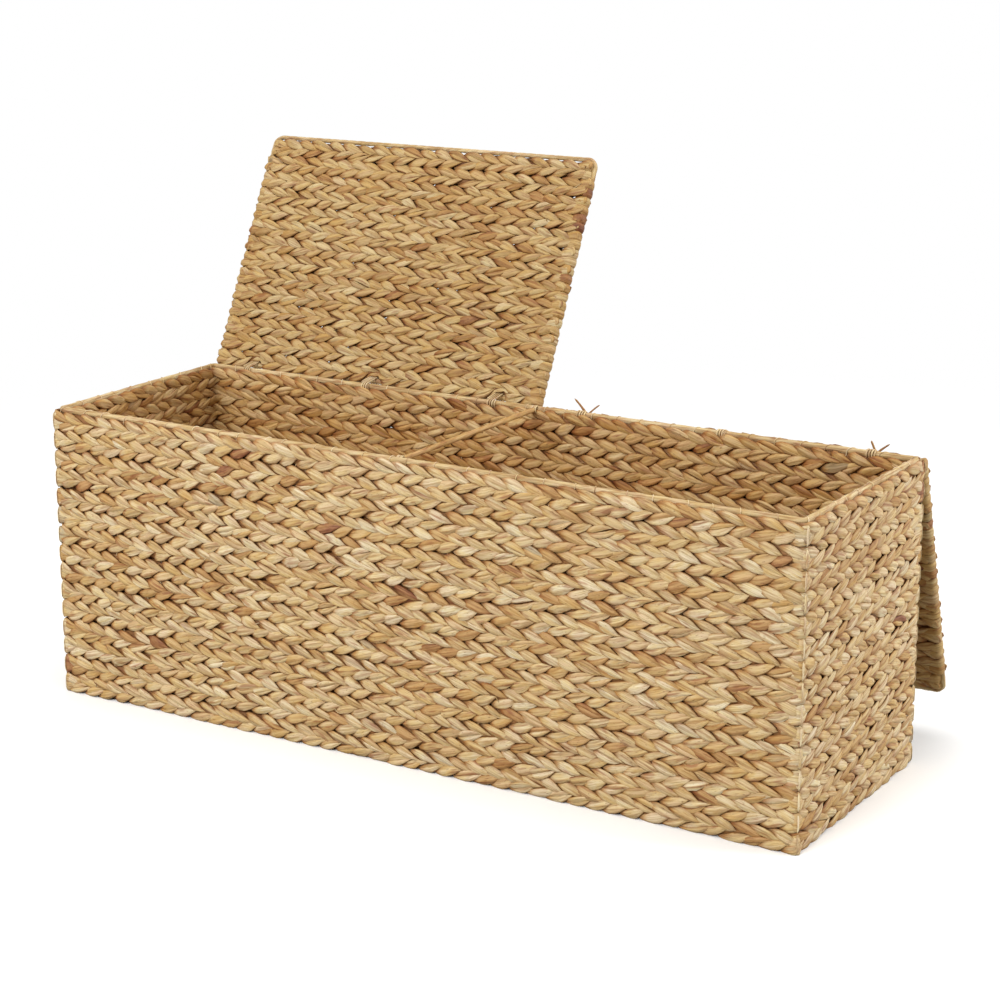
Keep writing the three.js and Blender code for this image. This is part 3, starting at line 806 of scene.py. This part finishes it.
# The end of a stalk comes off one face, turns round the side rod and goes onto the other
turned = {
    "perCourse": 2,
    "shares": (-1, -0.8, -0.6, -0.42, -0.25, 0, 0.25, 0.42, 0.6, 0.8, 1),    # places along it
    "bendShare": 0.42,       # share of it that goes round the rod
    "reach": 26,             # mm along the course that each end of it covers
    "reachVaries": (0.8, 1.1),
    "bulge": 4.4,            # mm out from the courses' ends
    "bulgeVaries": (0.85, 1.05),
    "halfWidth": 6.9, "halfThick": 2.5, "widthVaries": (0.9, 1.05),
    "height": 6.4,           # mm above and below the middle of the mat
    "tipDrop": 3.6,          # mm less at the tips
}


def middleOf(node):
    low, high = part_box(node)
    return np.array((low + high) / 2)


def lidForward(side):
    way = middleOf(f"{side}_lid_front_rod") - middleOf(f"{side}_lid_rear_rod")
    return unit(way * [0, 1, 1])


def lidSpace(side):
    # A lid's directions and places, and the function that turns lid coordinates into points
    rear = middleOf(f"{side}_lid_rear_rod")
    forward = lidForward(side)
    up = np.cross([-1.0, 0.0, 0.0], forward)
    frontRod = (middleOf(f"{side}_lid_front_rod") - rear) @ forward
    far = frontRod - (lid["edgeCordRadius"] + lid["edgeGap"]) * mm
    near = -lid["rearInset"] * mm

    def point(x, f, n):
        return rear + np.stack([x, 0 * x, 0 * x], -1) + f[..., None] * forward + n[..., None] * up

    return {"forward": forward, "up": up, "frontRod": frontRod, "near": near, "far": far,
            "pitch": (far - near) / lid["courses"], "point": point,
            "ties": [middleOf(f"{side}_hinge_tie_{k}")[0] - rear[0] for k in (1, 2, 3)]}


def drawn(space, x):
    # how far the ties draw the first course away from the rear rod
    halfWidth = lid["pinchHalfWidth"] * mm
    return np.minimum(1, 1.6 * sum(smooth(1 - np.abs(x - tie) / halfWidth) for tie in space["ties"]))


def pinch(space, x, f):
    edge = space["near"] + space["pitch"]
    return np.where(f < edge, edge - (edge - f) * (1 - lid["pinchDepth"] * drawn(space, x)), f)


def thinned(space, x, f):
    near, pitch = space["near"], space["pitch"]
    return lid["flatness"] * (1 - lid["rearThinning"] * smooth(1 - (f - near) / (pitch / 2))
                              - lid["tieThinning"] * drawn(space, x) * smooth(2 * (near + pitch - f) / pitch))


def turnedEnd(space, middle, half, end, k, rng):
    # end is 1 at the lid's right side and -1 at its left, k counts the turned ends of one course
    t = np.array(turned["shares"])
    bent = turned["bendShare"]
    beyond = np.clip(np.abs(t) - bent, 0, 1)
    bend = np.clip(t / bent, -1, 1) * math.pi / 2
    reach = turned["reach"] * mm * rng.uniform(*turned["reachVaries"])
    bulge = rng.uniform(*turned["bulgeVaries"]) * turned["bulge"] * mm
    x = half + np.where(beyond > 0, -beyond / (1 - bent) * reach, bulge * np.cos(bend))
    n = np.sin(bend) * (turned["height"] - turned["tipDrop"] * beyond) * mm
    away = (k - (turned["perCourse"] - 1) / 2) * space["pitch"] / turned["perCourse"]
    f = middle + away * (1 - 0.75 * np.clip(np.abs(t) - 0.3, 0, 1)) + rng.normal(0, 1.2) * t * mm
    outward = np.cos(bend)[:, None] * np.array([end, 0.0, 0.0]) + np.sin(bend)[:, None] * space["up"]
    shape = (1 - 0.75 * np.clip(np.abs(t) - 0.35, 0, 1)) * rng.uniform(*turned["widthVaries"])
    centres = space["point"](end * x, pinch(space, end * x, f), n)
    # painted shade towards its tips, where it goes under the weave
    return strandTube(centres, outward, turned["halfWidth"] * shape * mm, turned["halfThick"] * shape * mm,
                      10, False, np.full(len(t), lobeTints(rng, 1)[0]),
                      np.clip(1.25 - 0.8 * np.abs(t), 0, 1), rng.integers(1 << 30))


def makeLidWeave(side, space, rng):
    body = f"{side}_lid"
    up, forward, pitch = space["up"], space["forward"], space["pitch"]
    cornerRound = lid["cornerRound"] * mm
    firstSeed = 400 if side == "left" else 500
    parts, turns = {1: [], -1: []}, []
    for course in range(lid["courses"]):
        middle = space["near"] + (course + 0.5) * pitch
        # the last course is shorter, by the rounding of the lid's corners
        past = max(0, middle + pitch * 0.3 - (space["far"] - cornerRound))
        inset = cornerRound - math.sqrt(max(0, cornerRound ** 2 - past ** 2))
        half = lidHalfWidth - lid["endInset"] * mm - inset

        def place(s, w, v, middle=middle, half=half):
            x, f = -half + s, middle + v
            points = space["point"](x, pinch(space, x, f), -w * thinned(space, x, f))
            return points, np.broadcast_to(-up, points.shape), np.broadcast_to(forward, points.shape)

        for face in parts:
            parts[face] += braidCourse(place, 2 * half, False, firstSeed + course, (face,),
                                       pitch / coursePitch, spread=-lid["slit"] / 2, shreds=lid["shreds"])
        turns += [turnedEnd(space, middle, half, end, k, rng)
                  for end in (-1, 1) for k in range(turned["perCourse"])]
    buildMesh(f"{side}LidBraid", parts[1], lidShadedWeave, body, "lid_weave", f"{body}_mat")
    buildMesh(f"{side}LidTopBraid", parts[-1], lidTopShadedWeave, body, "lid_weave", f"{body}_mat")
    buildMesh(f"{side}LidEdgeTurns", turns, lidShadedWeave, body, "lid_weave", f"{body}_mat")


def lidCord(space, x, f, radius, twistPitch, middleTint, rng, seed):
    count = len(x)
    tint = middleTint + wander(rng, 40, np.linspace(0, 1, count), 0.2)
    face = np.broadcast_to(space["up"], (count, 3))
    return pliedTube(space["point"](x, f, np.zeros(count)), face, np.full(count, radius * mm),
                     lid["twistDepth"], 2, twistPitch * mm, 10, False, tint, seed)


def makeLidCords(side, space, rng):
    # the bound rear rod, and the cord on the free edge that bends back along the sides
    body = f"{side}_lid"
    x = np.arange(-lidHalfWidth + 4 * mm, lidHalfWidth - 4 * mm, rim["step"] * mm)
    rearCord = lidCord(space, x, np.zeros(len(x)), lid["rearCordRadius"], rim["twistPitch"], 0.5, rng, 7)
    buildMesh(f"{side}LidRearCord", [rearCord], rimCord, body, "rim_cord", f"{body}_rear_rod")
    bend = lid["cornerRound"] * mm - lid["edgeCordRadius"] * mm
    edgeX = lidHalfWidth - lid["edgeCordRadius"] * mm - bend
    edgeF = space["frontRod"]
    angles = np.linspace(0, math.pi / 2, 7)
    down = np.linspace(*lid["edgeReturn"], 5) * mm
    right = np.stack([np.concatenate([np.full(5, edgeX + bend), edgeX + bend * np.cos(angles)]),
                      np.concatenate([edgeF - bend - down, edgeF - bend + bend * np.sin(angles)])], -1)
    straight = np.arange(edgeX - rim["step"] * mm, -edgeX, -rim["step"] * mm)
    front = np.stack([straight, np.full(len(straight), edgeF)], -1)
    path = np.concatenate([right, front, right[::-1] * [-1, 1]])
    edgeCord = lidCord(space, path[:, 0], path[:, 1], lid["edgeCordRadius"], lid["edgeTwistPitch"], 0.45,
                       rng, 9)
    buildMesh(f"{side}LidEdgeCord", [edgeCord], rimCord, body, "rim_cord", f"{body}_front_rod")


def makeLid(side):
    rng = np.random.default_rng(40 if side == "left" else 41)
    space = lidSpace(side)
    makeLidWeave(side, space, rng)
    makeLidCords(side, space, rng)


matLow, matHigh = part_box("left_lid_mat")
lidHalfWidth = (matHigh.x - matLow.x) / 2
makeLid("left")
makeLid("right")


# Hinge ties: thin cord whipped round the back rim and the lid's rear rod, with two short tails
tie = {
    "turns": 4,
    "cordRadius": 1.1,       # mm
    "pitch": 4.0,            # mm from one turn to the next
    "endPull": 0.4,          # pitches by which the whipping is drawn together
    "loopRadius": 5.1,       # mm from a rod's middle to the cord's
    "samplesPerTurn": 28,
    # mm aside and out past the rear edge, of the tails at each of the right lid's ties
    "tails": (((-16, 25), (22, 20)), (), ((-5, 20), (20, 18))),
    "tailRoot": 5,           # mm behind the lid's rear rod
    "tailHalfWidth": 1.8,
    "tailFacing": (0.0, -0.8, 0.6),
}


def whipping(middleX, rimRod, lidRod, rng, seed):
    # A cord wound round both rods: straight to the lid's rod, half round it, back and half round the rim's
    link = lidRod - rimRod
    length = np.linalg.norm(link)
    linkWay = link / length
    sideWay = np.cross([1.0, 0.0, 0.0], linkWay)
    radius = tie["loopRadius"] * mm
    arc = math.pi * radius
    t = np.arange(tie["turns"] * tie["samplesPerTurn"] + 1) / tie["samplesPerTurn"]
    run = np.mod(t, 1) * 2 * (length + arc)
    lidBend = (run - length) / radius
    rimBend = (run - 2 * length - arc) / radius
    full = np.full(len(run), radius)
    stretch = np.searchsorted([length, length + arc, 2 * length + arc], run, side="right")
    alongLink = np.choose(stretch, [
        run, length + radius * np.sin(lidBend), length - (run - length - arc), -radius * np.sin(rimBend)])
    aside = np.choose(stretch, [full, radius * np.cos(lidBend), -full, -radius * np.cos(rimBend)])
    x = middleX + (t / tie["turns"] - 0.5) * (tie["turns"] - tie["endPull"]) * tie["pitch"] * mm
    points = (np.stack([x, np.full(len(x), rimRod[1]), np.full(len(x), rimRod[2])], -1)
              + alongLink[:, None] * linkWay + aside[:, None] * sideWay)
    return roundCord(points, tie["cordRadius"] * mm, 8, False, rng.uniform(0.1, 0.6), seed, 0.05)


def tieTail(root, forward, aside, out, rng, seed):
    reach = np.linspace(0, 1, 8)[:, None]
    points = root + reach * np.array([aside * mm, 0, 0]) - reach ** 0.8 * out * mm * forward
    width = tie["tailHalfWidth"] * mm * (1 - 0.3 * reach[:, 0])
    return strandTube(points, np.broadcast_to(tie["tailFacing"], points.shape), width, 0.4 * width,
                      8, False, np.full(8, rng.uniform(0, 0.5)), np.ones(8), seed, 0.15)


def makeTies(side):
    lidRod = middleOf(f"{side}_lid_rear_rod")
    rimRod = np.array([lidRod[0], middleOf("back_rim_rod")[1], rimLevel])
    forward = lidForward(side)
    tieNodes = [f"{side}_hinge_tie_{k}" for k in (1, 2, 3)]
    loops, tails = [], []
    for k, node in enumerate(tieNodes, 1):
        rng = np.random.default_rng(60 + k + (10 if side == "left" else 0))
        x = middleOf(node)[0]
        loops.append(whipping(x, rimRod, lidRod, rng, k))
        root = np.array([x, lidRod[1], lidRod[2]]) - tie["tailRoot"] * mm * forward
        for way, (aside, out) in enumerate(tie["tails"][k - 1] if side == "right" else ()):
            tails.append(tieTail(root, forward, aside, out, rng, k + 20 + way))
    buildMesh(f"{side}HingeTies", loops, stitchThread, f"{side}_ties", "tie_cord", *tieNodes)
    if tails:
        buildMesh(f"{side}TieTails", tails, tieTailCord, f"{side}_lid", "tie_cord")


makeTies("left")
makeTies("right")


# Threads that sew each course to the next, seen as short pale ticks on the seams
seam = {
    "spacing": 74,           # mm
    "hiddenShare": 0.3,      # share of them that the braid hides
    "threadRadius": 0.5,     # mm
    "reach": 5.5,            # mm either side of the seam
    "reachVaries": (0.7, 1.2),
    "lean": 2,               # mm
    "out": 5.4,              # mm out from the wall's middle, and how much less at the ends
    "endDrop": 4.5,
}


def makeSeamStitches():
    rng = np.random.default_rng(77)
    radius = trunk["cornerRadius"] * mm
    length = ringLengths(radius).sum()
    parts = []
    for course in range(1, trunk["courses"]):
        place = ringPlace(course * coursePitch, radius, trunk["waviness"] * mm)
        count = round(length / (seam["spacing"] * mm))
        for k in range(count):
            if rng.random() < seam["hiddenShare"]:
                continue
            face = rng.choice([-1, 1])
            t = np.linspace(-1, 1, 6)
            reach = seam["reach"] * rng.uniform(*seam["reachVaries"]) * mm
            middle = (k + rng.uniform(-0.4, 0.4)) * length / count
            out = face * (seam["out"] - seam["endDrop"] * np.abs(t) ** 3) * mm
            points, _, _ = place(middle + t * rng.uniform(-seam["lean"], seam["lean"]) * mm, out, t * reach)
            parts.append(roundCord(points, seam["threadRadius"] * mm, 5, False, rng.uniform(0, 1), k))
    buildMesh("seamStitches", parts, stitchThread, "box", "wall_weave")


makeSeamStitches()

# the steel rods are the solids themselves, which only show through gaps
for node in nodes.values():
    if not node.hide_render:
        node.data.materials.clear()
        node.data.materials.append(coatedSteel)


# Floor, lights and camera
studio = {
    "cameraPlace": (1.5947, -2.5572, 1.1155),
    "cameraTurn": (15.0, 31.234),        # degrees down, and to the left of straight ahead
    "focalLength": 87.08,                # mm
    "sensorWidth": 36,                   # mm
    "farthest": 50,                      # m that the camera sees
    "floorSize": 2.6,                    # m from the middle to the floor's edge
    "floorFade": (0.35, 0.95),           # shares of that between which it fades out
    "floorColour": "#fbfbfa",
    "floorBounce": "#c0c0bd",            # what it throws back on the trunk
    "floorRoughness": 0.9,               # unglazed paper
    "floorSpecular": 0.1,
    "surround": 0.42,                    # how much light the white surround throws in
    "aim": (0, 0, 0.3),                  # what the lights point at
    "lights": {
        "keyLight": ((-0.7, -4.1, 2.8), 2.4, 180),
        "fillLight": ((-2.8, -2.6, 2.2), 2.4, 34),
        "endLight": ((3.6, 1.8, 1.8), 2.2, 142),
        "topLight": ((0.2, 0.2, 3.8), 3.0, 68),
    },
}


def makeFloor():
    floorMesh = bpy.data.meshes.new("floor")
    size = studio["floorSize"]
    floorMesh.from_pydata([(-size, -size, 0), (size, -size, 0), (size, size, 0), (-size, size, 0)], [],
                          [(0, 1, 2, 3)])
    floor = bpy.data.objects.new("floor", floorMesh)
    bpy.context.scene.collection.objects.link(floor)
    # White paper that fades into the white surround, so that only the shadow shows
    material, tree = newMaterial("whitePaperFloor")
    place = addNode(tree, "ShaderNodeTexCoord").outputs["Object"]
    away = addNode(tree, "ShaderNodeVectorMath", {"operation": "LENGTH"}, {0: place}).outputs["Value"]
    fadeStart, fadeEnd = (share * size for share in studio["floorFade"])
    fade = addNode(tree, "ShaderNodeMapRange", {
        "interpolation_type": "SMOOTHSTEP", "From Min": fadeStart, "From Max": fadeEnd},
        {"Value": away}).outputs["Result"]
    seen = addNode(tree, "ShaderNodeLightPath").outputs["Is Camera Ray"]
    colour = addNode(tree, "ShaderNodeMix", {
        "data_type": "RGBA", 6: hexToLinear(studio["floorBounce"]), 7: hexToLinear(studio["floorColour"])},
        {0: seen}).outputs[2]
    paper = addNode(tree, "ShaderNodeBsdfPrincipled", {
        "Roughness": studio["floorRoughness"], "Specular IOR Level": studio["floorSpecular"]},
        {"Base Color": colour})
    clear = addNode(tree, "ShaderNodeBsdfTransparent")
    both = addNode(tree, "ShaderNodeMixShader", {}, {0: fade, 1: paper.outputs[0], 2: clear.outputs[0]})
    addNode(tree, "ShaderNodeOutputMaterial", {}, {"Surface": both.outputs[0]})
    floorMesh.materials.append(material)


def makeStudio():
    scene = bpy.context.scene
    scene.view_settings.view_transform = "Standard"
    camera = bpy.data.objects.new("camera", bpy.data.cameras.new("camera"))
    camera.location = studio["cameraPlace"]
    down, left = (math.radians(a) for a in studio["cameraTurn"])
    camera.rotation_euler = (math.pi / 2 - down, 0, left)
    camera.data.lens = studio["focalLength"]
    camera.data.sensor_width = studio["sensorWidth"]
    camera.data.clip_end = studio["farthest"]
    scene.collection.objects.link(camera)
    scene.camera = camera
    makeFloor()
    world = bpy.data.worlds.new("studio")
    scene.world = world
    world.use_nodes = True
    tree = world.node_tree
    tree.nodes.clear()
    rays = addNode(tree, "ShaderNodeLightPath").outputs
    seen = rays["Is Camera Ray"]
    for name in ("Is Glossy Ray", "Is Transmission Ray"):
        seen = addNode(tree, "ShaderNodeMath", {"operation": "MAXIMUM"}, {0: seen, 1: rays[name]}).outputs[0]
    soft = addNode(tree, "ShaderNodeBackground", {"Color": (1, 1, 1, 1), "Strength": studio["surround"]})
    white = addNode(tree, "ShaderNodeBackground", {"Color": (1, 1, 1, 1), "Strength": 1.0})
    both = addNode(tree, "ShaderNodeMixShader", {}, {0: seen, 1: soft.outputs[0], 2: white.outputs[0]})
    addNode(tree, "ShaderNodeOutputWorld", {}, {"Surface": both.outputs[0]})
    for name, (place, size, power) in studio["lights"].items():
        light = bpy.data.objects.new(name, bpy.data.lights.new(name, "AREA"))
        light.data.shape = "SQUARE"
        light.data.size = size
        light.data.energy = power
        light.location = place
        aim = Vector(studio["aim"]) - Vector(place)
        light.rotation_euler = aim.to_track_quat("-Z", "Y").to_euler()
        scene.collection.objects.link(light)
    print("studio")


makeStudio()
